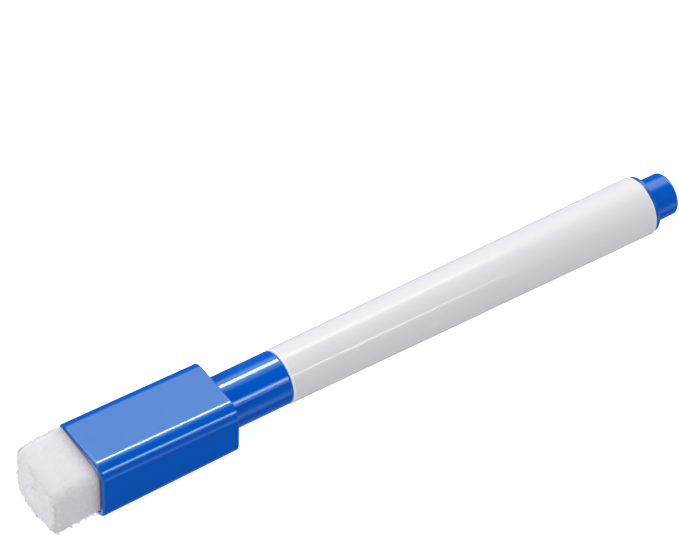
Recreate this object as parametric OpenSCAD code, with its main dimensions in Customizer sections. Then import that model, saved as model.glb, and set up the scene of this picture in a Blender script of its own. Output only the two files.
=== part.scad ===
// Mini dry-erase marker with an eraser cap, lying on its side.
// Units are millimetres and +Z is up. The pen axis runs along +X: the eraser end is at low X and the
// tail plug at high X. The origin is under the middle of the marker, on the surface it lies on.

/* [Eraser socket] */
// Length of the square socket along the pen
box_len = 23.6; // [16:0.1:40]
// Width of the square socket
box_w = 12.7; // [11:0.1:20]
// Height of the socket at its open mouth
box_h = 11.1; // [10.5:0.1:20]
// How much lower the socket is at its closed end than at its mouth
box_drop = 1.0; // [0:0.1:1.5]
// Radius of the four long edges of the socket
box_edge_r = 2.4; // [1:0.1:3.5]
// Wall thickness of the socket
box_wall = 0.8; // [0.6:0.1:1.2]
// Thickness of the socket's closed end
box_end = 1.0; // [0.8:0.1:2]

/* [Collar] */
// Outer diameter of the round collar
collar_d = 8.7; // [7.5:0.1:14]
// Length of collar that shows behind the socket
collar_len = 11.0; // [6:0.1:20]
// Wall thickness of the collar
collar_wall = 0.9; // [0.7:0.05:1.5]
// Rounding of the collar's mouth, outside
collar_lip_r = 0.3; // [0.1:0.05:0.4]
// Length of the closed tube that stands inside the socket
tube_len = 13.6; // [10:0.1:20]
// Wall thickness of that tube
tube_wall = 0.6; // [0.5:0.05:1.2]
// Thickness of the tube's closed end
tube_end = 1.0; // [0.8:0.1:2]

/* [Eraser felt] */
// Length of felt that stands out of the socket
felt_out = 7.3; // [3:0.1:15]
// How far in from the socket's outer sides the felt stands
felt_side_inset = 0.7; // [0.4:0.05:2]
// How far in from the socket's top and underside the felt stands
felt_top_inset = 0.45; // [0.3:0.05:2]
// Radius of the felt's long edges
felt_edge_r = 1.5; // [0.5:0.1:3]
// Gap between the felt's shoulder and the socket's rim
felt_rim_gap = 0.2; // [0:0.05:1]

/* [Barrel] */
// Length of the white barrel
barrel_len = 67.4; // [50:0.1:110]
// Outer diameter of the barrel next to the collar
barrel_d = 8.9; // [8:0.1:14]
// How much wider the barrel is at its tail
barrel_flare = 0.86; // [0:0.02:2]
// Wall thickness of the barrel
barrel_wall = 1.0; // [0.8:0.05:1.6]
// Rounding of the barrel's tail rim, outside
barrel_rim_r = 0.3; // [0.1:0.05:0.5]

/* [Tail plug] */
// Outer diameter of the plug's flange
flange_d = 9.3; // [7:0.1:16]
// Thickness of the plug's flange
flange_t = 0.8; // [0.4:0.1:2]
// Diameter of the knob where it leaves the flange
knob_d = 7.1; // [5:0.1:12]
// How much narrower the knob is at its end
knob_draft = 0.1; // [0:0.02:0.6]
// Length of the knob behind the flange
knob_len = 4.8; // [2:0.1:10]
// Rounding of the knob's end edge
knob_edge_r = 0.8; // [0.2:0.1:1.5]
// Length of plug pushed into the barrel
plug_len = 5.0; // [3:0.1:12]
// Wall thickness of the hollow plug
plug_wall = 1.1; // [0.8:0.1:2]

/* [Front section and nib] */
// Length of the front section pushed into the barrel
section_plug_len = 10.0; // [5:0.1:16]
// Length of the seal nose at the front of the section
nose_len = 4.6; // [3:0.1:8]
// Step from the collar's seat down to the seal nose
nose_step = 0.88; // [0.5:0.01:1.5]
// Diameter of the writing nib
nib_d = 2.8; // [1.5:0.1:4]
// Length of nib that shows in front of the section
nib_out = 4.5; // [2:0.1:8]
// Length of the nib's tapered tip
nib_tip_len = 1.8; // [0.5:0.1:3]
// Diameter of the flat at the nib's end
nib_tip_d = 1.2; // [0.5:0.1:2]

/* [Ink reservoir] */
// Gap between the film and the barrel, at the front
film_gap = 0.33; // [0.1:0.01:1]
// Length of nib pushed into the fibre rod
core_bite = 7.0; // [3:0.1:15]
// Thickness of the film round the fibre rod
film_t = 0.15; // [0.1:0.01:0.4]

/* [Cap liner] */
// Length of the sealing liner
liner_len = 11.0; // [8:0.1:14]
// Thickness of the liner's closed end
liner_end = 0.8; // [0.6:0.1:1.5]

/* [Fits] */
// Radial clearance of the collar on the front section
cap_fit = 0.07; // [0.01:0.01:0.1]
// Radial clearance of the liner in the collar and on the seal nose
liner_fit = 0.05; // [0.01:0.01:0.1]
// Radial clearance of pieces that are pushed together for good
press_fit = 0.02; // [0.01:0.01:0.05]
// Gap between the collar's mouth and the barrel's shoulder
cap_stop_gap = 0.12; // [0.05:0.01:0.3]
// Gap between pieces that lie end to end inside the barrel
end_gap = 0.3; // [0.1:0.05:1]

/* [Hidden] */
$fn = 96;
// a small overrun that makes cuts pass right through a face
over = 0.5;
// how far an edge round stands past its faces, so that it crosses them instead of only touching
ease = 0.003;

// Stations along the pen, measured from the mouth of the socket.
tube_x = box_len - tube_len;
bore_x = tube_x + tube_end;
collar_x = box_len + collar_len;
barrel_x = collar_x + cap_stop_gap;
tail_x = barrel_x + barrel_len;
knob_x = tail_x + flange_t;
end_x = knob_x + knob_len;
felt_x = -felt_out;
felt_back_x = tube_x - end_gap;
liner_x = bore_x + end_gap;
liner_mouth_x = liner_x + liner_len;
nose_x = liner_mouth_x - (nose_len - 2);
section_x = nose_x + nose_len;
nib_x = nose_x - nib_out;
section_back_x = barrel_x + section_plug_len;
core_x = section_back_x + end_gap;
plug_front_x = tail_x - plug_len;
core_back_x = plug_front_x - end_gap;
nib_back_x = core_x + core_bite;
// where the pen axis and the middle of the marker lie in the finished frame
axis_z = box_h / 2;
mid_x = (end_x + felt_x) / 2;
felt_w = box_w - 2 * felt_side_inset;
felt_h = box_h - 2 * felt_top_inset;

// Radii.
collar_r = collar_d / 2;
cap_bore_r = collar_r - collar_wall;
tube_r = cap_bore_r + tube_wall;
section_r = cap_bore_r - cap_fit;
liner_r = cap_bore_r - liner_fit;
nose_r = section_r - nose_step;
liner_bore_r = nose_r + liner_fit;
barrel_r = barrel_d / 2;
tail_r = barrel_r + barrel_flare / 2;
barrel_bore_r = barrel_r - barrel_wall;
tail_bore_r = tail_r - barrel_wall;
section_plug_r = barrel_bore_r - press_fit;
plug_r = tail_bore_r - press_fit;
nib_r = nib_d / 2;
film_r = barrel_bore_r - film_gap;
film_bore_r = film_r - film_t;
core_r = film_bore_r - press_fit;
knob_r = knob_d / 2;
knob_end_r = knob_r - knob_draft / 2;

// Colours.
cap_blue = [0.02, 0.33, 0.80];
barrel_white = [0.93, 0.93, 0.95];
felt_white = [0.90, 0.90, 0.92];
section_grey = [0.82, 0.83, 0.85];
liner_white = [0.88, 0.89, 0.90];
ink_blue = [0.10, 0.22, 0.62];
film_clear = [0.80, 0.86, 0.92];

// Puts a piece drawn round the X axis, from the socket's mouth, into the finished frame.
module place() {
    translate([-mid_x, 0, axis_z]) children();
}

// Turns a profile of [radius, station] points into a solid of revolution round the X axis.
module turned() {
    rotate([0, 90, 0]) rotate_extrude() children();
}

// A block with rounded long edges that gets lower along X, cut square at both ends.
// It is a plain wedge, kept only where a cross of two bars and four tilted edge rounds also stand.
module drafted_block(x0, x1, w, h0, h1, r) {
    len = x1 - x0;
    slope = (h0 - h1) / 2 / len;
    lift = r / cos(atan(slope));
    core_h0 = h0 - 2 * lift;
    intersection() {
        side_prism(x0, x1, w, h0, h1);
        union() {
            side_prism(x0 - over, x1 + over, w - 2 * r, h0 + 2 * r, h0 + 2 * r);
            side_prism(x0 - over, x1 + over, w + 2 * r, core_h0 + 2 * slope * over,
                core_h0 - 2 * slope * (len + over));
            for (sy = [-1, 1], sz = [-1, 1])
                translate([x0, sy * (w / 2 - r), sz * (h0 / 2 - lift)])
                    rotate([0, 90 + sz * atan(slope), 0])
                        translate([0, 0, -r]) cylinder(r = r + ease, h = len + 2 * r);
        }
    }
}

// A bar from x0 to x1, w wide, whose height goes evenly from h0 to h1.
module side_prism(x0, x1, w, h0, h1) {
    translate([0, w / 2, 0]) rotate([90, 0, 0]) linear_extrude(w)
        polygon([[x0, -h0 / 2], [x1, -h1 / 2], [x1, h1 / 2], [x0, h0 / 2]]);
}

// The socket's height at any station along it.
function box_h_at(x) = box_h - box_drop * x / box_len;

// Blue moulding: square socket, closed end, and a round tube that is the collar outside the socket.
module cap_shell() {
    color(cap_blue) place() difference() {
        union() {
            difference() {
                drafted_block(0, box_len, box_w, box_h, box_h_at(box_len), box_edge_r);
                drafted_block(-over, box_len - box_end, box_w - 2 * box_wall,
                    box_h_at(-over) - 2 * box_wall, box_h_at(box_len - box_end) - 2 * box_wall,
                    box_edge_r - box_wall);
            }
            turned() collar_profile();
        }
        translate([bore_x, 0, 0]) rotate([0, 90, 0])
            cylinder(r = cap_bore_r, h = collar_x - bore_x + over);
    }
}

// Half section of the tube and collar, solid, with a rounded lip at its mouth.
module collar_profile() {
    root_x = box_len - box_end / 2;
    translate([0, tube_x]) square([tube_r, box_len - tube_x]);
    translate([0, root_x]) square([collar_r - collar_lip_r, collar_x - root_x]);
    translate([0, root_x]) square([collar_r, collar_x - root_x - collar_lip_r]);
    translate([collar_r - collar_lip_r, collar_x - collar_lip_r]) circle(r = collar_lip_r, $fn = 48);
}

// Sealing cup in the closed end of the cap: it fits over the nose of the front section.
module cap_liner() {
    color(liner_white) place() difference() {
        translate([liner_x, 0, 0]) rotate([0, 90, 0]) cylinder(r = liner_r, h = liner_len);
        translate([liner_x + liner_end, 0, 0]) rotate([0, 90, 0])
            cylinder(r = liner_bore_r, h = liner_len - liner_end + over);
    }
}

// Felt block, glued in the socket and a little wider where it stands out of it.
module eraser_felt() {
    neck_w = box_w - 2 * box_wall - 2 * press_fit;
    neck_h0 = box_h_at(0) - 2 * box_wall - 2 * press_fit;
    neck_h1 = box_h_at(felt_back_x) - 2 * box_wall - 2 * press_fit;
    neck_drop = (neck_h0 - neck_h1) / felt_back_x;
    color(felt_white) place() union() {
        drafted_block(felt_x, -felt_rim_gap, felt_w, felt_h, felt_h, felt_edge_r);
        drafted_block(-felt_rim_gap - over, felt_back_x, neck_w,
            neck_h0 + (felt_rim_gap + over) * neck_drop, neck_h1, box_edge_r - box_wall);
    }
}

// Tapered tube with straight seats at both ends for the front section and the tail plug.
module barrel() {
    seat_x = section_back_x + end_gap / 2;
    tail_seat_x = plug_front_x - end_gap / 2;
    color(barrel_white) place() difference() {
        turned() union() {
            polygon([[0, barrel_x], [barrel_r, barrel_x], [tail_r, tail_x - barrel_rim_r],
                [tail_r - barrel_rim_r, tail_x], [0, tail_x]]);
            translate([tail_r - barrel_rim_r, tail_x - barrel_rim_r])
                circle(r = barrel_rim_r, $fn = 48);
        }
        translate([barrel_x - over, 0, 0]) rotate([0, 90, 0])
            cylinder(r = barrel_bore_r, h = seat_x - barrel_x + over);
        translate([seat_x, 0, 0]) rotate([0, 90, 0])
            cylinder(r1 = barrel_bore_r, r2 = tail_bore_r, h = tail_seat_x - seat_x);
        translate([tail_seat_x, 0, 0]) rotate([0, 90, 0])
            cylinder(r = tail_bore_r, h = tail_x - tail_seat_x + over);
    }
}

// Front section: plug in the barrel, seat for the collar, and a nose that the liner seals on.
module nib_holder() {
    rim = 0.4;
    ledge = 1.2;
    shoulder_x = barrel_x - press_fit;
    color(section_grey) place() turned() difference() {
        polygon([[0, nose_x], [nose_r - rim, nose_x], [nose_r, nose_x + rim], [nose_r, section_x],
            [section_r - rim, section_x], [section_r, section_x + rim], [section_r, shoulder_x],
            [section_plug_r, shoulder_x], [section_plug_r, section_back_x], [0, section_back_x]]);
        translate([-over, nose_x - over])
            square([nib_r + press_fit + over, section_back_x - nose_x + 2 * over]);
        translate([-over, section_x + ledge])
            square([section_r - ledge + over, section_back_x - section_x]);
    }
}

// Fibre nib with a tapered tip; its tail is pushed into the fibre rod.
module nib() {
    color(ink_blue) place() turned()
        polygon([[0, nib_x], [nib_tip_d / 2, nib_x], [nib_r, nib_x + nib_tip_len],
            [nib_r, nib_back_x], [0, nib_back_x]]);
}

// Fibre rod that holds the ink, with a hole for the nib's tail.
module ink_reservoir() {
    color(ink_blue) place() difference() {
        translate([core_x, 0, 0]) rotate([0, 90, 0]) cylinder(r = core_r, h = core_back_x - core_x);
        translate([core_x - over, 0, 0]) rotate([0, 90, 0])
            cylinder(r = nib_r + press_fit, h = core_bite + press_fit + over);
    }
}

// Clear film round the fibre rod.
module reservoir_film() {
    color(film_clear) place() difference() {
        translate([core_x, 0, 0]) rotate([0, 90, 0]) cylinder(r = film_r, h = core_back_x - core_x);
        translate([core_x - over, 0, 0]) rotate([0, 90, 0])
            cylinder(r = film_bore_r, h = core_back_x - core_x + 2 * over);
    }
}

// Hollow end plug: a skirt in the barrel, a flange on its end, and a rounded knob.
module tail_plug() {
    plug_bore_r = knob_end_r - plug_wall;
    color(cap_blue) place() turned() difference() {
        union() {
            translate([0, plug_front_x]) square([plug_r, tail_x - plug_front_x + flange_t / 2]);
            translate([0, tail_x + press_fit]) square([flange_d / 2, flange_t - press_fit]);
            polygon([[0, knob_x - flange_t / 2], [knob_r, knob_x - flange_t / 2], [knob_r, knob_x],
                [knob_end_r, end_x - knob_edge_r], [knob_end_r - knob_edge_r, end_x], [0, end_x]]);
            translate([knob_end_r - knob_edge_r, end_x - knob_edge_r])
                circle(r = knob_edge_r, $fn = 48);
        }
        translate([-over, plug_front_x - over])
            square([plug_bore_r + over, end_x - plug_wall - plug_front_x + over]);
    }
}

cap_shell();
cap_liner();
eraser_felt();
barrel();
nib_holder();
nib();
ink_reservoir();
reservoir_film();
tail_plug();
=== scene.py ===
import math
import bpy
import numpy as np
from mathutils import Matrix, Vector


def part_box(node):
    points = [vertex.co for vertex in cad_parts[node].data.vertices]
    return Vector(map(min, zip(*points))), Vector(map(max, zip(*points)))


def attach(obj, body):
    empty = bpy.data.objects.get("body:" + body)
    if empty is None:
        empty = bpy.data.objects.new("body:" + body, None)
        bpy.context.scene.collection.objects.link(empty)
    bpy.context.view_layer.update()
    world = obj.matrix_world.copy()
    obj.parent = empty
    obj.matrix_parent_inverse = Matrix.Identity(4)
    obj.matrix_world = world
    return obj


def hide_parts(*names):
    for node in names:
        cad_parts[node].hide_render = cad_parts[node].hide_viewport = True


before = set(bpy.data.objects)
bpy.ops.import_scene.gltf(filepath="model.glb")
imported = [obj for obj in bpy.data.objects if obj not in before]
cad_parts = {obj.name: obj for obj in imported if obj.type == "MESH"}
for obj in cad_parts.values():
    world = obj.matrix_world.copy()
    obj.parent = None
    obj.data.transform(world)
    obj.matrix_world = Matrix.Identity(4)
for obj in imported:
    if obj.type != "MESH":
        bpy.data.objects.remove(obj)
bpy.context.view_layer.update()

MM = 0.001
AXIS_Z = sum(c.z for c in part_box("cap_shell")) / 2
MOUTH_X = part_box("cap_shell")[0].x
POLE_R = 0.02 * MM  # a turned skin stops this far from the axis, where one point closes it
FIT = 0.02 * MM  # the gap between pieces that are pressed together


# ---------------------------------------------------------------- shapes

class Path:
    """A profile in the plane of the pen axis: stations along X and distances from the axis.
    It is a run of straight lines whose corners are rounded by circular arcs. Each point keeps the
    direction that the surface faces there, so flats stay flat beside their rounds."""

    def __init__(self, corners, closed=False, arc=6):
        """corners: rows of (station, distance, corner radius). closed joins the last to the first.
        A corner's arc touches both lines at radius * tan(turn / 2) from the corner, and its points
        are spread evenly over the turn."""
        c = np.array([(x, r) for x, r, _ in corners], float)
        radii = [f for _, _, f in corners]
        n = len(c)
        points, facing = [], []
        for i in range(n):
            if not closed and i in (0, n - 1):
                a, b = (c[0], c[1]) if i == 0 else (c[-2], c[-1])
                d = (b - a) / np.linalg.norm(b - a)
                points.append(c[i])
                facing.append((d[1], -d[0]))
                continue
            before, after = c[i] - c[i - 1], c[(i + 1) % n] - c[i]
            d0, d1 = before / np.linalg.norm(before), after / np.linalg.norm(after)
            turn = math.atan2(d0[0] * d1[1] - d0[1] * d1[0], float(d0 @ d1))
            back = radii[i] * math.tan(abs(turn) / 2)
            start = c[i] - back * d0
            side = math.copysign(1.0, turn)
            heading = math.atan2(d0[1], d0[0])
            centre = start + side * radii[i] * np.array([-d0[1], d0[0]])
            for t in np.linspace(0, 1, arc + 1):
                h = heading + turn * t
                points.append(centre + side * radii[i] * np.array([math.sin(h), -math.cos(h)]))
                facing.append((math.sin(h), -math.cos(h)))
        self.points, self.facing, self.closed = np.array(points), np.array(facing), closed

    def filled(self, step):
        """Splits lines longer than step into even parts, which keep the facing of their ends."""
        points, facing = [], []
        n = len(self.points)
        for i in range(n if self.closed else n - 1):
            a, b = self.points[i], self.points[(i + 1) % n]
            parts = max(1, int(np.ceil(np.linalg.norm(b - a) / step)))
            t = np.arange(parts)[:, None] / parts
            points.append(a + (b - a) * t)
            facing.append(self.facing[i] + (self.facing[(i + 1) % n] - self.facing[i]) * t)
        if not self.closed:
            points.append(self.points[-1:])
            facing.append(self.facing[-1:])
        return np.vstack(points), np.vstack(facing)


def outward(points, faces):
    """The faces, all turned over if the volume that they enclose comes out negative. The volume is
    the sum, over triangles, of corner dot (corner cross corner) / 6."""
    a, b, c = points[faces[:, 0]], points[faces[:, 1]], points[faces[:, 2]]
    d = points[faces[:, -1]]
    volume = (a * np.cross(b, c)).sum() + (a * np.cross(c, d)).sum()
    return faces if volume > 0 else faces[:, [1, 0, 3, 2]]


def grid_faces(rows, columns, rows_wrap=False):
    """Four-cornered faces between neighbours on a grid of rows, each of which is a closed loop."""
    i = np.arange(rows if rows_wrap else rows - 1)[:, None]
    j = np.arange(columns)[None, :]
    nxt, beside = (i + 1) % rows, (j + 1) % columns
    corners = [i * columns + j, i * columns + beside, nxt * columns + beside, nxt * columns + j]
    return np.stack([np.broadcast_to(c, (len(i), columns)) for c in corners], -1).reshape(-1, 4)


def made(name, points, faces, normals=None):
    """A smooth mesh object at the origin. Faces that name a corner twice are triangles."""
    mesh = bpy.data.meshes.new(name)
    triangles = faces[:, 2] == faces[:, 3]
    size = np.where(triangles, 3, 4)
    keep = np.ones(faces.shape, bool)
    keep[triangles, 3] = False
    corners = faces[keep]
    mesh.vertices.add(len(points))
    mesh.vertices.foreach_set("co", points.astype(np.float32).ravel())
    mesh.loops.add(len(corners))
    mesh.loops.foreach_set("vertex_index", corners.astype(np.int32))
    mesh.polygons.add(len(faces))
    mesh.polygons.foreach_set("loop_start", np.r_[0, np.cumsum(size)[:-1]].astype(np.int32))
    mesh.update(calc_edges=True)
    mesh.validate()
    mesh.polygons.foreach_set("use_smooth", np.ones(len(faces), bool))
    if normals is not None:
        length = np.linalg.norm(normals, axis=1, keepdims=True)
        mesh.normals_split_custom_set_from_vertices((normals / length).tolist())
    piece = bpy.data.objects.new(name, mesh)
    bpy.context.scene.collection.objects.link(piece)
    return piece


def closed_skin(rings, normals, wrap=False):
    """Points, faces and normals of a skin over rings, an array of rows x columns x 3. Unless the rows
    wrap round, the first and the last ring are closed by one point each, in their middle."""
    rows, columns = rings.shape[:2]
    points, facing = rings.reshape(-1, 3), normals.reshape(-1, 3)
    faces = grid_faces(rows, columns, rows_wrap=wrap)
    if not wrap:
        j = np.arange(columns)
        beside = (j + 1) % columns
        last, n = (rows - 1) * columns, rows * columns
        start = np.stack([np.full(columns, n), beside, j, j], -1)
        end = np.stack([np.full(columns, n + 1), last + j, last + beside, last + beside], -1)
        ends = np.stack([rings[0].mean(0), rings[-1].mean(0)])
        points = np.vstack([points, ends])
        facing = np.vstack([facing, normals[0].mean(0), normals[-1].mean(0)])
        faces = np.vstack([faces, start, end])
    return points, outward(points, faces), facing


def turned(name, path, step, columns=144):
    """A piece turned round the pen axis: each profile point (station, distance) becomes a circle
    y = distance * sin(angle), z = axis + distance * cos(angle). step is the longest gap between
    profile points."""
    profile, facing = path.filled(step)
    angle = np.linspace(0, 2 * np.pi, columns, endpoint=False)[None, :]
    x, r = profile[:, :1], profile[:, 1:]
    flat = np.zeros_like(angle)
    rings = np.stack([x + flat, r * np.sin(angle), AXIS_Z + r * np.cos(angle)], -1)
    fx, fr = facing[:, :1], facing[:, 1:]
    normals = np.stack([fx + flat, fr * np.sin(angle), fr * np.cos(angle)], -1)
    points, faces, facing = closed_skin(rings, normals, wrap=path.closed)
    return made(name, points, faces, right_way(points, faces, facing))


def right_way(points, faces, normals):
    """The normals, turned over if they point against the faces."""
    a, b, c = points[faces[:, 0]], points[faces[:, 1]], points[faces[:, 2]]
    agree = (np.cross(b - a, c - a) * normals[faces[:, 0]]).sum()
    return normals if agree > 0 else -normals


# ---------------------------------------------------------------- socket and collar

BOX_W = 12.7 * MM
BOX_H = 11.1 * MM
BOX_DROP = 1.0 * MM
BOX_LEN = 23.6 * MM
BOX_EDGE = 2.4 * MM
BOX_WALL = 0.8 * MM
BOX_END = 1.0 * MM
RIM_IN = 0.15 * MM
RIM_OUT = 0.45 * MM
REAR_EDGE = 0.18 * MM
COLLAR_R = 4.35 * MM
BORE_R = 3.45 * MM
TUBE_R = 4.05 * MM
TUBE_X = 10.0 * MM
BORE_X = 11.0 * MM
COLLAR_X = 34.6 * MM
LIP_R = 0.3 * MM
CAP_STEP = 1.5 * MM
LEAST_CORNER = 0.6 * MM
OVERLAP = 0.08 * MM  # the web's floor stands this far off both walls before its loops change kind


def ring_of_box(half_w, half_h, corner, arc, straight):
    """One loop round a rounded rectangle, and the way it faces. Each corner is a quarter circle of
    that radius, and the four sides between them are straight."""
    y, z, ny, nz = [], [], [], []
    centres = [(-1, 1), (-1, -1), (1, -1), (1, 1)]
    for k, (sy, sz) in enumerate(centres):
        t = np.radians(90 * k) + np.linspace(0, np.pi / 2, arc + 1)
        cy, cz = -np.sin(t), np.cos(t)
        y.append(sy * (half_w - corner) + corner * cy)
        z.append(sz * (half_h - corner) + corner * cz)
        ny.append(cy)
        nz.append(cz)
        ty, tz = centres[(k + 1) % 4]
        a = np.array([y[-1][-1], z[-1][-1]])
        along = np.array([ty * (half_w - corner), tz * (half_h - corner)])
        b = along + corner * np.array([cy[-1], cz[-1]])
        s = np.linspace(0, 1, straight + 1)[1:-1]
        y.append(a[0] + (b[0] - a[0]) * s)
        z.append(a[1] + (b[1] - a[1]) * s)
        ny.append(np.full(len(s), cy[-1]))
        nz.append(np.full(len(s), cz[-1]))
    return np.concatenate(y), np.concatenate(z), np.concatenate(ny), np.concatenate(nz)


def cap_moulding():
    """The socket and collar as one skin. Its profile starts in the middle of the closed tube inside
    the socket, runs back along the tube, over the socket's inner walls to the mouth, round the rim,
    along the outside to the collar's mouth, and down the bore. Loops are circles on the tube, the
    collar and the bore, and rounded rectangles on the socket, whose height falls evenly."""
    arc, straight = 20, 14
    slope = BOX_DROP / 2 / BOX_LEN
    web_x = BOX_LEN - BOX_END
    tube = Path([(TUBE_X, POLE_R, 0), (TUBE_X, TUBE_R, 0.25 * MM),
                 (web_x, TUBE_R, 0.06 * MM), (web_x, TUBE_R + OVERLAP, 0)])
    # distances here are how far the wall stands in from the socket's outside
    walls = Path([(web_x, BOX_WALL + OVERLAP, 0), (web_x, BOX_WALL, 0.06 * MM),
                  (0, BOX_WALL, RIM_IN), (0, 0, RIM_OUT), (BOX_LEN, 0, REAR_EDGE),
                  (BOX_LEN, 0.3 * MM, 0)], arc=8)
    collar = Path([(BOX_LEN, COLLAR_R + 0.2 * MM, 0), (BOX_LEN, COLLAR_R, 0.12 * MM),
                   (COLLAR_X, COLLAR_R, LIP_R), (COLLAR_X, BORE_R, 0.15 * MM),
                   (BORE_X, BORE_R, 0.2 * MM), (BORE_X, POLE_R, 0)], arc=8)
    rings, normals = [], []

    def circles(path):
        """A circle for each profile point, with its points at the angles of the rectangle's."""
        profile, facing = path.filled(CAP_STEP)
        yy, zz, _, _ = ring_of_box(BOX_W / 2, BOX_H / 2, BOX_EDGE, arc, straight)
        angle = np.arctan2(-yy, zz)
        for (x, r), (fx, fr) in zip(profile, facing):
            rings.append(np.stack([np.full_like(yy, x), -r * np.sin(angle), r * np.cos(angle)], -1))
            normals.append(np.stack([np.full_like(yy, fx), -fr * np.sin(angle), fr * np.cos(angle)], -1))

    def boxes(path):
        """A rounded rectangle for each profile point, that far in from the socket's outside."""
        profile, facing = path.filled(CAP_STEP)
        for (x, inset), (fx, fin) in zip(profile, facing):
            half_h = BOX_H / 2 - slope * x - inset
            corner = max(BOX_EDGE - inset, LEAST_CORNER)
            yy, zz, ny, nz = ring_of_box(BOX_W / 2 - inset, half_h, corner, arc, straight)
            rings.append(np.stack([np.full_like(yy, x), yy, zz], -1))
            tilt = slope * np.abs(nz)
            # an inset grows inwards, so the facing across the wall changes sign
            normals.append(np.stack([fx - fin * tilt, -fin * ny, -fin * nz], -1))

    circles(tube)
    tube_rows = len(rings)
    boxes(walls)
    box_rows = len(rings)
    circles(collar)
    rings, normals = np.array(rings), np.array(normals)
    # the path's own sense of left and right flips where distances turn into insets
    normals[tube_rows:box_rows] *= -1
    rings = rings + np.array([MOUTH_X, 0, AXIS_Z])
    points, faces, facing = closed_skin(rings, normals)
    return made("cap_moulding", points, faces, right_way(points, faces, facing))


cap = cap_moulding()
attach(cap, "cap")
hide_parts("cap_shell")

# ---------------------------------------------------------------- turned pieces

BARREL_X, BARREL_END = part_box("barrel")[0].x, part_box("barrel")[1].x
BARREL_R, BARREL_TAIL_R = 4.45 * MM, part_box("barrel")[1].y
BARREL_WALL = 1.0 * MM
FRONT_LIP = 0.1 * MM
FRONT_SEAT, PLUG_SEAT = 10.15 * MM, 5.15 * MM  # how deep the bore is wide enough for each plug
LONG_STEP = 1.5 * MM

barrel = turned("barrel_tube", Path([
    (BARREL_X - FRONT_LIP, BARREL_R, 0.16 * MM), (BARREL_END, BARREL_TAIL_R, 0.26 * MM),
    (BARREL_END, BARREL_TAIL_R - BARREL_WALL, 0.1 * MM),
    (BARREL_END - PLUG_SEAT, BARREL_TAIL_R - BARREL_WALL, 0.5 * MM),
    (BARREL_X + FRONT_SEAT, BARREL_R - BARREL_WALL, 0.5 * MM),
    (BARREL_X - FRONT_LIP, BARREL_R - BARREL_WALL, 0.1 * MM)], closed=True), step=LONG_STEP)
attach(barrel, "pen")
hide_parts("barrel")

PLUG_FRONT, PLUG_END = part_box("tail_plug")[0].x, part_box("tail_plug")[1].x
FLANGE_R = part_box("tail_plug")[1].y
FLANGE_X, KNOB_X = BARREL_END + FIT, BARREL_END + 0.8 * MM
PLUG_R = BARREL_TAIL_R - BARREL_WALL - FIT
KNOB_R, KNOB_END_R, KNOB_EDGE = 3.55 * MM, 3.5 * MM, 0.65 * MM
KNOB_END = PLUG_END - 0.2 * MM
PLUG_WALL = 1.1 * MM

plug = turned("tail_plug_moulding", Path([
    (PLUG_END - PLUG_WALL, POLE_R, 0), (PLUG_END - PLUG_WALL, KNOB_END_R - PLUG_WALL, 0.4 * MM),
    (PLUG_FRONT, KNOB_END_R - PLUG_WALL, 0.1 * MM), (PLUG_FRONT, PLUG_R, 0.3 * MM),
    (FLANGE_X, PLUG_R, 0.1 * MM), (FLANGE_X, FLANGE_R, 0.18 * MM), (KNOB_X, FLANGE_R, 0.22 * MM),
    (KNOB_X, KNOB_R, 0.08 * MM), (KNOB_END, KNOB_END_R, KNOB_EDGE),
    (KNOB_END, POLE_R, 0)], arc=10), step=LONG_STEP)
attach(plug, "pen")
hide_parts("tail_plug")

SECTION_X, SECTION_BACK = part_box("nib_holder")[0].x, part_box("nib_holder")[1].x
NOSE_R, SECTION_R, SECTION_PLUG_R = 2.5 * MM, 3.38 * MM, 3.43 * MM
SHOULDER_X = SECTION_X + 4.6 * MM
SECTION_WALL = 1.2 * MM
NIB_R, NIB_TIP_R, NIB_TAPER = 1.4 * MM, 0.6 * MM, 1.8 * MM

section = turned("front_section", Path([
    (SECTION_X, NIB_R + FIT, 0.1 * MM), (SECTION_X, NOSE_R, 0.4 * MM),
    (SHOULDER_X, NOSE_R, 0.12 * MM), (SHOULDER_X, SECTION_R, 0.4 * MM),
    (BARREL_X - FIT, SECTION_R, 0.02 * MM), (BARREL_X - FIT, SECTION_PLUG_R, 0.02 * MM),
    (SECTION_BACK, SECTION_PLUG_R, 0.3 * MM), (SECTION_BACK, SECTION_R - SECTION_WALL, 0.1 * MM),
    (SHOULDER_X + SECTION_WALL, SECTION_R - SECTION_WALL, 0.2 * MM),
    (SHOULDER_X + SECTION_WALL, NIB_R + FIT, 0.1 * MM)], closed=True), columns=112, step=LONG_STEP)
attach(section, "pen")
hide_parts("nib_holder")

NIB_X, NIB_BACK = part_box("nib")[0].x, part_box("nib")[1].x

nib = turned("fibre_nib", Path([
    (NIB_X, POLE_R, 0), (NIB_X, NIB_TIP_R, 0.3 * MM), (NIB_X + NIB_TAPER, NIB_R, 0.5 * MM),
    (NIB_BACK, NIB_R, 0.15 * MM), (NIB_BACK, POLE_R, 0)]), columns=96, step=0.6 * MM)
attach(nib, "pen")
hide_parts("nib")

LINER_X, LINER_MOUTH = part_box("cap_liner")[0].x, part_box("cap_liner")[1].x
LINER_R, LINER_BORE_R, LINER_END = 3.4 * MM, 2.55 * MM, 0.8 * MM

liner = turned("sealing_liner", Path([
    (LINER_X, POLE_R, 0), (LINER_X, LINER_R, 0.3 * MM), (LINER_MOUTH, LINER_R, 0.1 * MM),
    (LINER_MOUTH, LINER_BORE_R, 0.25 * MM), (LINER_X + LINER_END, LINER_BORE_R, 0.4 * MM),
    (LINER_X + LINER_END, POLE_R, 0)]), columns=112, step=LONG_STEP)
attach(liner, "liner")
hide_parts("cap_liner")


# ---------------------------------------------------------------- eraser felt

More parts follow.
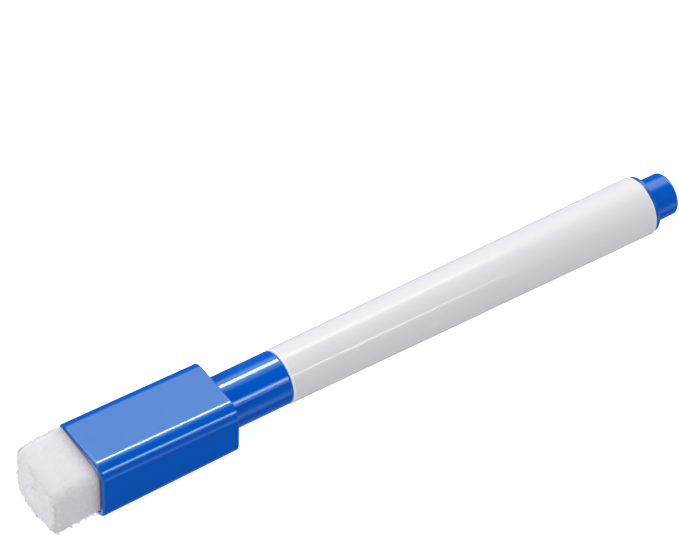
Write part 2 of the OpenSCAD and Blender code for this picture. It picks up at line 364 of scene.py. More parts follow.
FELT_X, FELT_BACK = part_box("eraser_felt")[0].x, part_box("eraser_felt")[1].x
FELT_W, FELT_H, FELT_EDGE = 11.3 * MM, 10.2 * MM, 1.6 * MM
HEART_X = FELT_X + 5 * MM  # a station well inside the block, from which outwards is reckoned
FELT_END_ROUND = 1.1 * MM
END_CORNER = 0.6  # corner radius of the flat free end, as a share of FELT_EDGE
NECK_W, NECK_EDGE = BOX_W - 2 * BOX_WALL - 2 * FIT, 1.6 * MM
NECK_DEPTHS = [d * MM for d in (-0.03, 0.1, 0.3, 1.5, 4.0, 7.0, 9.4)]

# The block was cut by hand. Its free part is crowned and domed, a little wider at the rim on its
# far side, lower at its free end, slumped along its near side, and longer than its seat needs.
CROWN_Y, CROWN_Z = 0.10 * MM, 0.12 * MM
DOME, DOME_FLATTER, DOME_REACH, DOME_OUT = 0.75 * MM, 0.35, 0.4, 0.33 * MM
FAR_WIDER, FAR_TAPER = 1.075, 0.095
TOP_TAPER = 0.045
SLUMP, SLUMP_AT_END, TOP_SUNK = 0.70 * MM, 0.70 * MM, 0.12 * MM
LIFT, LIFT_LESS_AT_END, LIFT_NEAR = 0.07, 0.08, 0.14
PINCH, PINCH_REACH = 0.012, 0.8 * MM
FELT_LONGER = 0.6 * MM
FREE_FROM, FREE_OVER = 0.4 * MM, 1.2 * MM  # before the mouth, crowns and lumps grow over this length
CUT_FROM, CUT_OVER = 0.08 * MM, 0.18 * MM  # slump and lift start inside the mouth, without a step
# height, wavelength and seed of each size of lump
LUMPS = ((0.035 * MM, 2.6 * MM, 3), (0.014 * MM, 0.9 * MM, 4), (0.007 * MM, 0.4 * MM, 5))


def waves(points, length, seed, count=24):
    """A soft random height over space, mostly within 1.5 either way: the sum of count sine waves in
    random directions, with wavelengths near length, over the square root of count."""
    rng = np.random.default_rng(seed)
    way = rng.normal(size=(count, 3))
    way /= np.linalg.norm(way, axis=1, keepdims=True)
    pitch = length * rng.uniform(0.75, 1.35, count)
    k = 2 * np.pi * way / pitch[:, None]
    return np.sin(points @ k.T + rng.uniform(0, 2 * np.pi, count)).sum(-1) / math.sqrt(count)


def felt_loops():
    """Station, half width, half height and corner radius of each loop of the plain block: the flat
    free end, its quarter-round edge, the straight sides, and the neck inside the socket."""
    flat_w, flat_h = FELT_W / 2 - FELT_END_ROUND, FELT_H / 2 - FELT_END_ROUND
    loops = [(FELT_X, flat_w * s, flat_h * s, max(FELT_EDGE * s * END_CORNER, 0.001 * MM))
             for s in np.linspace(0.004, 1, 30)[:-1]]
    for t in np.linspace(0, np.pi / 2, 13):
        grown = FELT_END_ROUND * math.sin(t)
        loops.append((FELT_X + FELT_END_ROUND * (1 - math.cos(t)), flat_w + grown, flat_h + grown,
                      FELT_EDGE * (END_CORNER + (1 - END_CORNER) * math.sin(t))))
    for x in np.linspace(FELT_X + FELT_END_ROUND, MOUTH_X - 0.1 * MM, 44)[1:]:
        loops.append((x, FELT_W / 2, FELT_H / 2, FELT_EDGE))
    for depth in NECK_DEPTHS:
        half_h = (BOX_H - BOX_DROP * depth / BOX_LEN) / 2 - BOX_WALL - 0.05 * MM
        loops.append((MOUTH_X + depth, NECK_W / 2, half_h, NECK_EDGE))
    loops.append((FELT_BACK - 0.05 * MM, NECK_W / 2 - 0.4 * MM, half_h - 0.4 * MM, NECK_EDGE))
    loops.append((FELT_BACK, 0.5 * MM, 0.5 * MM, 0.2 * MM))
    return loops


def felt_skin():
    """The felt's skin as loops of rounded rectangles, and how free each point is of the socket, from
    0 to 1. u and v run from -1 to 1 over the width and the height, and along from 0 at the free end
    to 1 at the mouth. The sides stand out by crown * 4 * along * (1 - along) * (1 - the square of
    the distance from their middle), less towards the block's heart. The free end falls back by
    DOME * (u * u + DOME_FLATTER * v * v) / (1 + DOME_FLATTER) from its middle. The near side drops
    at its top and rises at its bottom by shares of ((1 - u) / 2) ** 1.5, and lumps come last."""
    rings = []
    for station, half_w, half_h, corner in felt_loops():
        ring_y, ring_z, _, _ = ring_of_box(half_w, half_h, corner, arc=22, straight=44)
        rings.append(np.stack([np.full_like(ring_y, station), ring_y, ring_z], -1))
    rings = np.array(rings)
    x, y, z = rings[..., :1], rings[..., 1:2], rings[..., 2:]  # views, so changes reach the rings
    free = np.clip((MOUTH_X - FREE_FROM - x) / FREE_OVER, 0, 1)
    u = np.clip(y / (FELT_W / 2), -1, 1)
    v = np.clip(z / (FELT_H / 2), -1, 1)
    along = np.clip((x - FELT_X) / (MOUTH_X - FELT_X), 0, 1)
    belly = 4 * along * (1 - along)
    near_side = ((1 - u) / 2) ** 1.5
    y += free * CROWN_Y * belly * np.sign(u) * (1 - v ** 2) * np.abs(u) ** 6
    z += free * CROWN_Z * belly * np.sign(v) * (1 - u ** 2) * np.abs(v) ** 6
    hollow = (u ** 2 + DOME_FLATTER * v ** 2) / (1 + DOME_FLATTER)
    x += (DOME * hollow - DOME_OUT) * np.clip(1 - along / DOME_REACH, 0, 1)
    outside = x < MOUTH_X - 0.06 * MM
    y *= np.where(outside & (y > 0), FAR_WIDER - FAR_TAPER * (1 - along), 1)
    z *= np.where(outside & (z > 0), 1 - TOP_TAPER * (1 - along), 1)
    started = np.clip((MOUTH_X + CUT_FROM - x) / CUT_OVER, 0, 1)
    slump = (SLUMP + SLUMP_AT_END * (1 - along)) * near_side + TOP_SUNK
    z -= started * slump * np.clip(v, 0, 1)
    lift = LIFT - LIFT_LESS_AT_END * (1 - along) ** 2 + LIFT_NEAR * (0.3 + 0.7 * along) * near_side
    z *= np.where(z < 0, 1 - started * lift, 1)
    pinch = np.clip(1 - np.abs(MOUTH_X - x) / PINCH_REACH, 0, 1) ** 2
    y *= np.where(y < 0, 1 - PINCH * pinch, 1)
    x -= np.where(outside, FELT_LONGER * (1 - along), 0)
    lump = sum(height * waves(rings, length, seed) for height, length, seed in LUMPS)
    out = rings - np.array([HEART_X, 0, 0])
    out[..., 0] = np.minimum(out[..., 0], 0)
    out /= np.maximum(np.linalg.norm(out, axis=-1, keepdims=True), 1e-9)
    rings += free * lump[..., None] * out
    return rings + np.array([0, 0, AXIS_Z]), free[..., 0]


felt_rings, felt_free = felt_skin()
felt_points, felt_faces, _ = closed_skin(felt_rings, felt_rings)
felt = made("felt_block", felt_points, felt_faces)

TUFTS, FIBRES_EACH, LINT_SEED = 3100, 6, 11
ON_FLATS, MORE_ON_EDGES, FEWER_LOW = 0.4, 5.5, 0.85  # how thickly the fibres stand
LEAN_FLAT, LEAN_LESS_ON_EDGES, LEAN_SPREAD = 72, 38, 16  # degrees away from straight out
FIBRE_REACH = (0.12, 0.6)  # millimetres
LONGER_LOW, LONGER_ON_EDGES = 0.9, 0.5
FIBRE_R = (0.010 * MM, 0.018 * MM)
BY_THE_RIM = 1.3 * MM  # fibres this close to the socket lean away from it
CURL = 0.5


def felt_lint(tufts, each, seed):
    """Loose fibre ends all over the free part of the felt, in small tufts that lean the same way.
    Each is a thin tapered three-sided rod of two joints: root + length / 2 * lean, then
    + length / 2 * a second lean turned a little further. Tufts are chosen by the area of the skin's
    faces, times more on its rounded edges and less along the low edge of its near side, where the
    fibres are few and long, so that the edge fades out."""
    rng = np.random.default_rng(seed)
    faces = grid_faces(*felt_rings.shape[:2])
    flat = felt_rings.reshape(-1, 3)
    a, b, c, d = (flat[faces[:, k]] for k in range(4))
    across = np.cross(c - a, d - b)
    area = np.linalg.norm(across, axis=1) / 2
    out = across / (2 * area[:, None] + 1e-15)
    out *= np.sign((out * (a - np.array([HEART_X, 0, AXIS_Z]))).sum(1, keepdims=True))
    on_edge = 1 - np.abs(out).max(1)
    low_edge = 2 * np.clip(-out[:, 1], 0, 1) * np.clip(-out[:, 2], 0, 1)
    open_to_air = felt_free.reshape(-1)[faces].min(1) > 0.02
    weight = area * open_to_air * (ON_FLATS + MORE_ON_EDGES * on_edge) * (1 - FEWER_LOW * low_edge)
    pick = np.repeat(rng.choice(len(faces), tufts, p=weight / weight.sum()), each)
    count = len(pick)
    s, t = rng.random((2, count, 1))
    root = (a[pick] * (1 - s) + b[pick] * s) * (1 - t) + (d[pick] * (1 - s) + c[pick] * s) * t
    out = out[pick]
    low = low_edge[pick][:, None]
    upright = on_edge[pick][:, None].clip(0, 0.3) / 0.3
    by_rim = MOUTH_X - root[:, :1] < BY_THE_RIM

    def off_the_rim(way):
        """Turns back the X of fibres by the rim that lean towards it."""
        way[:, :1] = np.where(by_rim & (way[:, :1] > 0), -way[:, :1], way[:, :1])

    # the lean along the surface: mostly its tuft's, partly its own
    loose = np.repeat(rng.normal(size=(tufts, 3)), each, 0) + 0.45 * rng.normal(size=(count, 3))
    loose -= (loose * out).sum(1, keepdims=True) * out
    loose /= np.linalg.norm(loose, axis=1, keepdims=True)
    own = rng.uniform(-LEAN_SPREAD, LEAN_SPREAD, (count, 1))
    lean = np.radians(LEAN_FLAT - LEAN_LESS_ON_EDGES * upright + own)
    way = out * np.cos(lean) + loose * np.sin(lean)
    off_the_rim(way)
    reach = np.repeat(rng.gamma(4.0, 0.09, (tufts, 1)).clip(*FIBRE_REACH), each, 0)
    reach *= 1 + LONGER_LOW * low + LONGER_ON_EDGES * upright
    length = MM * reach * rng.uniform(0.55, 1.1, (count, 1))
    way2 = way + rng.normal(size=(count, 3)) * CURL
    way2 += out * np.maximum(0, 0.05 - (way2 * out).sum(1, keepdims=True))
    way2 /= np.linalg.norm(way2, axis=1, keepdims=True)
    off_the_rim(way2)
    side = np.cross(way, out + 0.3 * loose)
    side /= np.linalg.norm(side, axis=1, keepdims=True)
    other = np.cross(way, side)
    thick = rng.uniform(*FIBRE_R, (count, 1))
    base = root - out * 0.05 * MM
    joint = root + way * length * 0.5
    tip = joint + way2 * length * 0.5
    # nothing goes through the surface that the marker lies on
    tip[:, 2] = np.maximum(tip[:, 2], 0.02 * MM)
    joint[:, 2] = np.maximum(joint[:, 2], 0.03 * MM)
    points = [spot + thick * share * (math.cos(turn) * side + math.sin(turn) * other)
              for spot, share in ((base, 1.0), (joint, 0.8))
              for turn in (0, 2 * np.pi / 3, 4 * np.pi / 3)]
    points = np.stack(points + [tip], 1)
    rod = np.array([[0, 1, 4, 3], [1, 2, 5, 4], [2, 0, 3, 5], [3, 4, 6, 6], [4, 5, 6, 6], [5, 3, 6, 6],
                    [2, 1, 0, 0]])
    corners = points.shape[1]
    faces = (rod[None] + corners * np.arange(count)[:, None, None]).reshape(-1, 4)
    points = points.reshape(-1, 3)
    # each fibre is as bright as the felt behind it, with a little light coming down through it
    facing = np.repeat(out + (0.4 + 0.4 * low) * np.array([0, 0, 1]), corners, 0)
    return made("felt_fibres", points, outward_each(points, faces), facing)


def outward_each(points, faces):
    """As outward, but for many small closed pieces that are all wound the same way."""
    return outward(points - points.mean(0), faces)


lint = felt_lint(TUFTS, FIBRES_EACH, LINT_SEED)
# real fibre ends are far finer than these and hardly shade the felt
lint.visible_diffuse = False
lint.visible_shadow = False
for soft in (felt, lint):
    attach(soft, "cap")
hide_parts("eraser_felt")


# ---------------------------------------------------------------- materials

class Nodes:
    """A short way to write a shader tree: every call adds one node and links what it is given."""

    def __init__(self, tree):
        self.tree = tree

    def add(self, kind, inputs=None, **settings):
        node = self.tree.nodes.new(kind)
        for key, value in settings.items():
            setattr(node, key, value)
        for key, value in (inputs or {}).items():
            socket = node.inputs[key]
            if isinstance(value, bpy.types.NodeSocket):
                self.tree.links.new(value, socket)
            else:
                socket.default_value = value
        return node

    def noise(self, vector, scale, detail=2.0, rough=0.5):
        """Cloudy noise, 0 to 1; scale is how many clouds there are in a millimetre."""
        return self.add("ShaderNodeTexNoise", {"Vector": vector, "Scale": scale, "Detail": detail,
                                               "Roughness": rough}).outputs["Fac"]

    def spread(self, value, low, high, to_low, to_high):
        """The value, carried from the range low..high to the range to_low..to_high and kept in it."""
        node = self.add("ShaderNodeMapRange", {"Value": value, "From Min": low, "From Max": high,
                                               "To Min": to_low, "To Max": to_high})
        return node.outputs["Result"]

    def maths(self, operation, a, b=0.0):
        """One step of arithmetic on one or two numbers."""
        return self.add("ShaderNodeMath", {0: a, 1: b}, operation=operation).outputs[0]


def mix_colour(nodes, share, a, b):
    """The colour mix of a and b; its sockets are picked by place, because a Mix node repeats names."""
    node = nodes.tree.nodes.new("ShaderNodeMix")
    node.data_type = "RGBA"
    for place, value in ((0, share), (6, a), (7, b)):
        if isinstance(value, bpy.types.NodeSocket):
            nodes.tree.links.new(value, node.inputs[place])
        else:
            node.inputs[place].default_value = value
    return node.outputs[2]


def group(name, inputs, outputs):
    """An empty node group with those inputs (name, kind, value) and outputs (name, kind)."""
    tree = bpy.data.node_groups.new(name, "ShaderNodeTree")
    for label, kind, value in inputs:
        socket = tree.interface.new_socket(label, in_out="INPUT", socket_type=kind)
        if value is not None:
            socket.default_value = value
    for label, kind in outputs:
        tree.interface.new_socket(label, in_out="OUTPUT", socket_type=kind)
    nodes = Nodes(tree)
    return tree, nodes, nodes.add("NodeGroupInput"), nodes.add("NodeGroupOutput")


FLOAT, COLOUR, VECTOR = "NodeSocketFloat", "NodeSocketColor", "NodeSocketVector"


def moulded_finish():
    """Polished moulded plastic: a faint cloudiness of colour, a roughness that varies in patches,
    fine polishing specks, and the slow ripple of a moulded wall. Vector is in millimetres."""
    tree, n, given, gives = group("moulded_finish", [
        ("Vector", VECTOR, None), ("Colour", COLOUR, (0.5, 0.5, 0.5, 1)),
        ("Cloud", FLOAT, 0.05), ("Roughness", FLOAT, 0.1), ("Roughness Spread", FLOAT, 0.03)],
        [("Colour", COLOUR), ("Roughness", FLOAT), ("Height", FLOAT)])
    v, plain = given.outputs["Vector"], given.outputs["Colour"]
    cloud = n.noise(v, 0.35, 3.0)
    fine = n.noise(v, 6.0, 4.0, 0.6)
    mottle = n.maths("ADD", n.maths("MULTIPLY", cloud, 0.7), n.maths("MULTIPLY", fine, 0.3))
    kept = n.maths("SUBTRACT", 1.0, given.outputs["Cloud"])
    dark = mix_colour(n, kept, (0, 0, 0, 1), plain)
    colour = mix_colour(n, n.spread(mottle, 0.3, 0.7, 0.0, 1.0), dark, plain)
    patch = n.spread(n.noise(v, 1.1, 3.0, 0.6), 0.3, 0.75, 0.0, 1.0)
    rougher = n.maths("MULTIPLY", patch, given.outputs["Roughness Spread"])
    rough = n.maths("ADD", given.outputs["Roughness"], rougher)
    ripple = n.noise(v, 0.45, 1.0)
    grain = n.noise(v, 14.0, 3.0, 0.6)
    height = n.maths("ADD", ripple, n.maths("MULTIPLY", grain, 0.03))
    for label, value in (("Colour", colour), ("Roughness", rough), ("Height", height)):
        tree.links.new(value, gives.inputs[label])
    return tree


STREAK_TURNS = ((0.2, 0.5, 0.1), (1.1, -0.4, 0.9), (-0.6, 1.3, 2.0))
STREAK_SHAPE = (0.12, 1.0, 1.0)  # a streak is about eight times as long as wide


def fibre_mat():
    """Matted fibre: crossing fine streaks in three directions, with soft clumps. Vector is in
    millimetres. Shade is darker between the clumps, and Height stands up on the streaks."""
    tree, n, given, gives = group("fibre_mat", [("Vector", VECTOR, None), ("Streak Scale", FLOAT, 9.0)],
                                  [("Shade", FLOAT), ("Height", FLOAT)])
    v = given.outputs["Vector"]
    wander = n.add("ShaderNodeTexNoise", {"Vector": v, "Scale": 1.6, "Detail": 2.0}).outputs["Color"]
    bent = n.add("ShaderNodeVectorMath", {0: v, 1: wander}, operation="ADD").outputs[0]
    streaks = None
    for turn in STREAK_TURNS:
        mapped = n.add("ShaderNodeMapping", {"Vector": bent, "Rotation": turn, "Scale": STREAK_SHAPE})
        streak = n.noise(mapped.outputs["Vector"], given.outputs["Streak Scale"], 2.0, 0.55)
        streaks = streak if streaks is None else n.maths("MAXIMUM", streaks, streak)
    clump = n.noise(v, 1.3, 3.0, 0.55)
    height = n.maths("ADD", n.maths("MULTIPLY", streaks, 0.5), n.maths("MULTIPLY", clump, 0.5))
    shade = n.spread(height, 0.4, 0.72, 0.0, 1.0)
    for label, value in (("Shade", shade), ("Height", height)):
        tree.links.new(value, gives.inputs[label])
    return tree


moulded, fibres = moulded_finish(), fibre_mat()


def finish(name, colour, base_roughness=0.5, **sockets):
    """A material with its Principled shader, the piece's own coordinates in millimetres, and the
    shader's plain values set."""
    material = bpy.data.materials.new(name)
    material.use_nodes = True
    n = Nodes(material.node_tree)
    shader = material.node_tree.nodes["Principled BSDF"]
    shader.inputs["Base Color"].default_value = colour
    shader.inputs["Roughness"].default_value = base_roughness
    for key, value in sockets.items():
        shader.inputs[key.replace("_", " ")].default_value = value
    place = n.add("ShaderNodeTexCoord").outputs["Object"]
    millimetres = n.add("ShaderNodeVectorMath", {0: place, 1: (1000, 1000, 1000)}, operation="MULTIPLY")
    return material, n, shader, millimetres.outputs[0]


# painted highlight on the barrel's cut ends: its colour, and the depths in millimetres where it is full
# and where it is gone
PAINTED_RIM_HIGHLIGHT, PAINTED_RIM_HIGHLIGHT_MM = (0.99, 0.99, 1.0, 1), (0.12, 0.34)


def plastic(name, colour, roughness, spread, cloud, ripple, rims=(), **sockets):
    """A moulded plastic. rims holds the stations, in millimetres along X, of thin cut ends that get a
    painted highlight, a paler band of base colour for the light that their edges catch, each with
    the way into the piece."""
    material, n, shader, mm = finish(name, colour, **sockets)
    g = n.add("ShaderNodeGroup", {
        "Vector": mm, "Colour": colour, "Roughness": roughness, "Roughness Spread": spread,
        "Cloud": cloud}, node_tree=moulded)
    shade = g.outputs["Colour"]
    # painted highlight: the base colour is whitened in a thin band at each cut end
    for end, inwards in rims:
        x = n.add("ShaderNodeSeparateXYZ", {0: mm}).outputs[0]
        full, gone = (end + depth * inwards for depth in PAINTED_RIM_HIGHLIGHT_MM)
        shade = mix_colour(n, n.spread(x, full, gone, 1.0, 0.0), shade, PAINTED_RIM_HIGHLIGHT)
    n.tree.links.new(shade, shader.inputs["Base Color"])
    n.tree.links.new(g.outputs["Roughness"], shader.inputs["Roughness"])
    bump = n.add("ShaderNodeBump", {"Height": g.outputs["Height"], "Strength": 1.0, "Distance": ripple})
    n.tree.links.new(bump.outputs["Normal"], shader.inputs["Normal"])
    return material


# painted shade on the felt beside the socket's rim: its colour, its greatest share, and where it starts
# and where it is full, in millimetres before the rim
RIM_PAINTED_SHADE, RIM_PAINTED_SHADE_MOST, RIM_PAINTED_SHADE_MM = (0.03, 0.03, 0.04, 1), 0.38, (4.0, 0.2)


def matted(name, light, dark, roughness, depth, streak, rim=None, **sockets):
    """A matted fibre finish between a dark and a light colour. With rim, a station in millimetres
    along X, a painted shade greys it towards that station by the cube of the way there, for the
    shade that the socket's rim throws on the felt beside it."""
    material, n, shader, mm = finish(name, light, roughness, **sockets)
    g = n.add("ShaderNodeGroup", {"Vector": mm, "Streak Scale": streak}, node_tree=fibres)
    shade = mix_colour(n, g.outputs["Shade"], dark, light)
    # painted shade: the felt's colour is darkened towards the socket's rim, where the rim shades it
    if rim is not None:
        x = n.add("ShaderNodeSeparateXYZ", {0: mm}).outputs[0]
        start, full = (rim - before for before in RIM_PAINTED_SHADE_MM)
        near = n.maths("POWER", n.spread(x, start, full, 0.0, 1.0), 3.0)
        shade = mix_colour(n, n.maths("MULTIPLY", near, RIM_PAINTED_SHADE_MOST), shade, RIM_PAINTED_SHADE)
    n.tree.links.new(shade, shader.inputs["Base Color"])
    bump = n.add("ShaderNodeBump", {"Height": g.outputs["Height"], "Strength": 1.0, "Distance": depth})
    n.tree.links.new(bump.outputs["Normal"], shader.inputs["Normal"])
    return material


BLUE = (0.0, 0.124, 0.68, 1)
BLUE_SHINE = (0.78, 1.0, 0.92, 1)
# the barrel's two cut ends, where a highlight is painted, each with the way into the tube
PAINTED_HIGHLIGHT_ENDS = ((BARREL_X / MM, 1), (BARREL_END / MM, -1))
finishes = {
    "cap_blue": plastic("blue_polished_plastic", BLUE, roughness=0.05, spread=0.03, cloud=0.05,
                        ripple=0.0005 * MM, Specular_Tint=BLUE_SHINE),
    "plug_blue": plastic("blue_satin_plastic", BLUE, roughness=0.09, spread=0.04, cloud=0.05,
                         ripple=0.0005 * MM, Specular_Tint=BLUE_SHINE),
    "barrel_white": plastic("white_barrel_plastic", (0.848, 0.840, 0.886, 1), roughness=0.12,
                            spread=0.03, cloud=0.02, ripple=0.0004 * MM, rims=PAINTED_HIGHLIGHT_ENDS,
                            Specular_IOR_Level=0.14),
    "section_grey": plastic("pale_section_plastic", (0.70, 0.71, 0.73, 1), roughness=0.22,
                            spread=0.06, cloud=0.04, ripple=0.002 * MM, Specular_IOR_Level=0.16),
    "liner_white": plastic("milky_liner_plastic", (0.80, 0.81, 0.82, 1), roughness=0.35,
                           spread=0.05, cloud=0.04, ripple=0.003 * MM, Specular_IOR_Level=0.16),
    "film_clear": plastic("clear_film", (0.93, 0.96, 0.98, 1), roughness=0.12, spread=0.05,
                          cloud=0.02, ripple=0.002 * MM, Transmission_Weight=1.0),
    # the felt gets a painted shade towards the socket's rim
    "felt_white": matted("white_felt", (0.86, 0.845, 0.892, 1), (0.82, 0.805, 0.852, 1),
                         roughness=0.95, depth=0.008 * MM, streak=7.0, rim=MOUTH_X / MM,
                         Sheen_Weight=0.15),
    # the loose fibres are painted lighter than the felt, a painted light for the light that shines
    # through thin fibres
    "fibre_white": matted("felt_fibres_painted_lighter", (0.94, 0.924, 0.968, 1), (0.90, 0.884, 0.932, 1),
                          roughness=0.95, depth=0.008 * MM, streak=7.0, Sheen_Weight=0.15),
    "nib_blue": matted("inked_nib_fibre", (0.02, 0.10, 0.55, 1), (0.01, 0.05, 0.36, 1),
                       roughness=0.8, depth=0.03 * MM, streak=12.0),
    "fibre_blue": matted("inked_rod_fibre", (0.05, 0.16, 0.55, 1), (0.02, 0.08, 0.38, 1),
                         roughness=0.9, depth=0.05 * MM, streak=8.0),
}


def dress(piece, slot):
    """Gives a piece made here its finish, in place of any that it has."""
    piece.data.materials.clear()
    piece.data.materials.append(finishes[slot])


for piece, slot in ((cap, "cap_blue"), (barrel, "barrel_white"), (plug, "plug_blue"),
                    (section, "section_grey"), (nib, "nib_blue"), (liner, "liner_white"),
                    (felt, "felt_white"), (lint, "fibre_white")):
    dress(piece, slot)
for node, slot in (("ink_reservoir", "fibre_blue"), ("reservoir_film", "film_clear")):
    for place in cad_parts[node].material_slots:
        place.material = finishes[slot]

# ---------------------------------------------------------------- studio

FLOOR_HALF = 6.0
FLOOR_GAP = 0.0001  # the floor is just under the marker, so that the two don't share a plane

floor_mesh = bpy.data.meshes.new("studio_floor")
floor_corners = [(x * FLOOR_HALF, y * FLOOR_HALF, 0) for x, y in ((-1, -1), (1, -1), (1, 1), (-1, 1))]
floor_mesh.from_pydata(floor_corners, [], [(0, 1, 2, 3)])
floor = bpy.data.objects.new("studio_floor", floor_mesh)
bpy.context.scene.collection.objects.link(floor)
floor.location.z = -FLOOR_GAP
floor.visible_glossy = False


def paper_floor():
    """White paper: pure white to look at from above, softer in the light that it gives back to the
    marker, and clear from below."""
    paper = bpy.data.materials.new("white_paper_floor")
    paper.use_nodes = True
    n = Nodes(paper.node_tree)
    n.tree.nodes.remove(n.tree.nodes["Principled BSDF"])
    looked_at = n.add("ShaderNodeLightPath").outputs["Is Camera Ray"]

    def lit_paper(colour, glow):
        """Matt paper of that colour with a glow of its own."""
        matt = n.add("ShaderNodeBsdfDiffuse", {"Color": colour}).outputs[0]
        own = n.add("ShaderNodeEmission", {"Strength": glow}).outputs[0]
        return n.add("ShaderNodeAddShader", {0: matt, 1: own}).outputs[0]

    gives_back = lit_paper((0.48, 0.48, 0.49, 1), 0.40)
    seen = lit_paper((0.8, 0.8, 0.8, 1), 0.8)
    top = n.add("ShaderNodeMixShader", {"Fac": looked_at, 1: gives_back, 2: seen}).outputs[0]
    clear = n.add("ShaderNodeBsdfTransparent").outputs[0]
    behind = n.add("ShaderNodeNewGeometry").outputs["Backfacing"]
    from_below = n.maths("MULTIPLY", behind, looked_at)
    whole = n.add("ShaderNodeMixShader", {"Fac": from_below, 1: top, 2: clear}).outputs[0]
    n.tree.links.new(whole, n.tree.nodes["Material Output"].inputs["Surface"])
    return paper


floor.data.materials.append(paper_floor())

# Brightness of the room round the pen axis: degrees from straight up towards -Y, and radiance.
ROOM = [(-180, .22), (-158, .28), (-140, .12), (-122, .08), (-108, .07), (-90, .05), (-68, .04),
        (-60, .4), (-53, 1.9), (-46, 3.1), (-38, 3.1), (-26, 3.1), (-18, 3.3), (-13, 3.0), (-8, 1.8),
        (-2, .9), (5, .05), (20, .0), (42, .0), (64, .02), (84, .04),
        (96, .06), (106, .22), (117, .95), (128, .80), (138, .06), (153, .04), (166, .15)]
TOP_LIGHT = 3.5
PANEL_TINT, PANEL_FROM = (0.92, 1.0, 0.45), 1.5  # the tint of the room's parts brighter than this
# Soft round glows that the rims and edges mirror: direction, half angle in degrees, radiance.
GLOWS = [((-0.40, 0.57, -0.717), 20, 1.1), ((-0.717, 0.57, 0.40), 15, 4.0),
         ((-0.57, -0.40, -0.717), 16, .9), ((0.70, 0.50, -0.54), 22, 1.2)]
GLOW_CORE = 0.6  # a glow is even within this share of its half angle


def studio_room():
    """The room that the gloss mirrors. Its brightness follows the angle round the pen axis,
    atan2(-y, z), by the list ROOM, and the round glows are added. It doesn't light matt colours,
    and it is plain white to look at."""
    world = bpy.data.worlds.new("studio_room")
    world.use_nodes = True
    n = Nodes(world.node_tree)
    direction = n.add("ShaderNodeTexCoord").outputs["Generated"]
    way = n.add("ShaderNodeSeparateXYZ", {0: direction})
    angle = n.maths("ARCTAN2", n.maths("MULTIPLY", way.outputs[1], -1.0), way.outputs[2])
    ramp = n.add("ShaderNodeValToRGB", {"Fac": n.spread(angle, -math.pi, math.pi, 0.0, 1.0)})
    stops = ramp.color_ramp.elements
    for _ in ROOM[2:]:
        stops.new(1.0)
    for stop, (degrees, brightness) in zip(stops, ROOM):
        stop.position = (degrees + 180) / 360
        tint = PANEL_TINT if brightness > PANEL_FROM else (1.0, 1.0, 1.0)
        stop.color = [brightness / TOP_LIGHT * c for c in tint] + [1]
    light = n.add("ShaderNodeVectorMath", {0: ramp.outputs["Color"], 1: (TOP_LIGHT,) * 3},
                  operation="MULTIPLY").outputs[0]
    for middle, half, radiance in GLOWS:
        near = n.add("ShaderNodeVectorMath", {0: direction, 1: Vector(middle).normalized()},
                     operation="DOT_PRODUCT").outputs["Value"]
        edge, core = math.cos(math.radians(half)), math.cos(math.radians(half * GLOW_CORE))
        glow = n.spread(near, edge, core, 0.0, radiance)
        light = n.add("ShaderNodeVectorMath", {0: light, 1: glow}, operation="ADD").outputs[0]
    mirrored = n.tree.nodes["Background"].outputs[0]
    n.tree.links.new(light, n.tree.nodes["Background"].inputs["Color"])
    white = n.add("ShaderNodeBackground", {"Color": (1, 1, 1, 1), "Strength": 1.0}).outputs[0]
    looked_at = n.add("ShaderNodeLightPath").outputs["Is Camera Ray"]
    both = n.add("ShaderNodeMixShader", {"Fac": looked_at, 1: mirrored, 2: white}).outputs[0]
    n.tree.links.new(both, n.tree.nodes["World Output"].inputs["Surface"])
    world.cycles_visibility.diffuse = False
    return world


bpy.context.scene.world = studio_room()


def lamp(name, spot, facing, along, shape, wide, tall, radiance):
    """An area light that faces a direction, with its width along another. Its power is
    pi * area * radiance."""
    data = bpy.data.lights.new(name, "AREA")
    data.shape, data.size, data.size_y = shape, wide, tall
    area = wide * tall * (math.pi / 4 if shape in ("DISK", "ELLIPSE") else 1)
    data.energy = math.pi * area * radiance
    light = bpy.data.objects.new(name, data)
    bpy.context.scene.collection.objects.link(light)
    back = -Vector(facing).normalized()
    right = Vector(along).normalized()
    up = back.cross(right).normalized()
    light.matrix_world = Matrix.Translation(spot) @ Matrix((right, up, back)).transposed().to_4x4()
    light.visible_camera = False
    return light


SOFTBOX_WIDE = 0.9  # metres across


def softbox(azimuth, elevation, radiance):
    """A round softbox one metre away that lights the matt colours and isn't mirrored in the gloss."""
    a, e = math.radians(azimuth), math.radians(elevation)
    way = Vector((math.sin(a) * math.cos(e), -math.cos(a) * math.cos(e), math.sin(e)))
    across = Vector((math.cos(a), math.sin(a), 0))
    light = lamp(f"softbox_{azimuth}_{elevation}", way, -way, across, "DISK", SOFTBOX_WIDE,
                 SOFTBOX_WIDE, radiance)
    light.visible_glossy = False


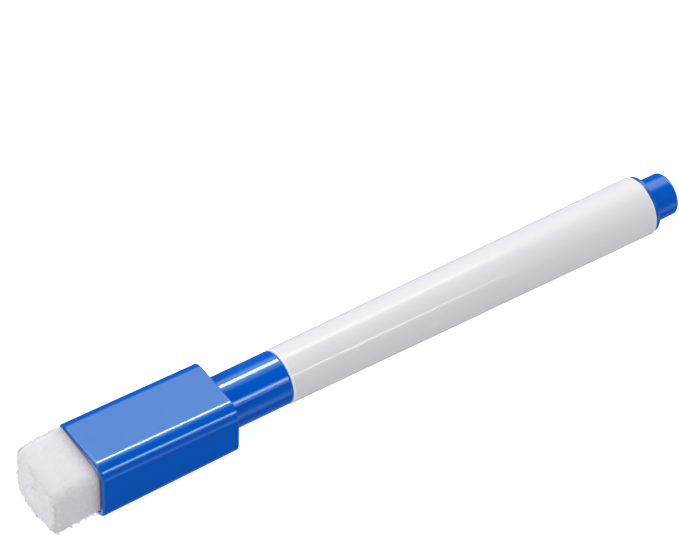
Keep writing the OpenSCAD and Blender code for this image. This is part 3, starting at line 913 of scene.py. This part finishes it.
# Azimuth from -Y towards +X and elevation, in degrees, and radiance.
SOFTBOXES = [(0, 38, .42), (30, 36, .98), (90, 28, 1.75), (120, 20, .25), (125, 58, .80), (150, 60, .30),
             (150, 78, .50), (180, 18, 1.60), (180, 78, .80), (210, 78, .15), (240, 18, 1.10),
             (270, 18, 1.15), (270, 50, .55), (300, 18, .25)]
for azimuth, elevation, radiance in SOFTBOXES:
    softbox(azimuth, elevation, radiance)


def strip(name, degrees, width, x0, x1, distance, radiance, lit):
    """A long narrow light parallel to the pen, seen only in the gloss of the lit pieces: degrees from
    straight up towards -Y, width in degrees as seen from the pen, its ends x0 and x1 along X, its
    distance from the pen, its radiance, and the collection of pieces that it lights."""
    a = math.radians(degrees)
    way = Vector((0, -math.sin(a), math.cos(a)))
    spot = way * distance + Vector(((x0 + x1) / 2, 0, AXIS_Z))
    wide = 2 * distance * math.tan(math.radians(width) / 2)
    light = lamp(name, spot, -way, (1, 0, 0), "RECTANGLE", x1 - x0, wide, radiance)
    light.visible_diffuse = False
    light.light_linking.receiver_collection = lit


def lit_group(name, pieces):
    """A collection of the pieces that a strip lights."""
    collection = bpy.data.collections.new(name)
    for piece in pieces:
        collection.objects.link(piece)
    return collection


blue_group = lit_group("blue_pieces", (cap, plug))
white_group = lit_group("white_pieces", (barrel, section, liner))
strip("upper_strip", -28.0, 13, -0.3, 0.350, 0.8, 22, blue_group)
strip("front_strip", 58.4, 9.5, -0.3, 0.345, 0.8, 7.0, blue_group)
strip("front_strip_glow", 61, 24, -0.3, 0.335, 0.82, 1.7, blue_group)
strip("barrel_upper_strip", -25, 17, -0.3, 0.400, 0.8, 8, white_group)
strip("barrel_front_strip", 57.5, 5, -0.3, 0.385, 0.8, 24, white_group)

# ---------------------------------------------------------------- camera

camera = bpy.data.objects.new("camera", bpy.data.cameras.new("camera"))
bpy.context.scene.collection.objects.link(camera)
# a long lens, looking along the pen from its eraser end, from the near side and from above
camera.data.lens, camera.data.sensor_width = 218.78, 36.0
camera.data.clip_start, camera.data.clip_end = 0.01, 20
right = Vector((0.830755, -0.556259, 0.020529))
up = Vector((0.387218, 0.604006, 0.696591))
back = Vector((-0.399885, -0.570747, 0.717175))
camera.matrix_world = (Matrix.Translation((-0.249363, -0.348862, 0.461384))
                       @ Matrix((right, up, back)).transposed().to_4x4())
bpy.context.scene.camera = camera
bpy.context.scene.view_settings.view_transform = "Standard"
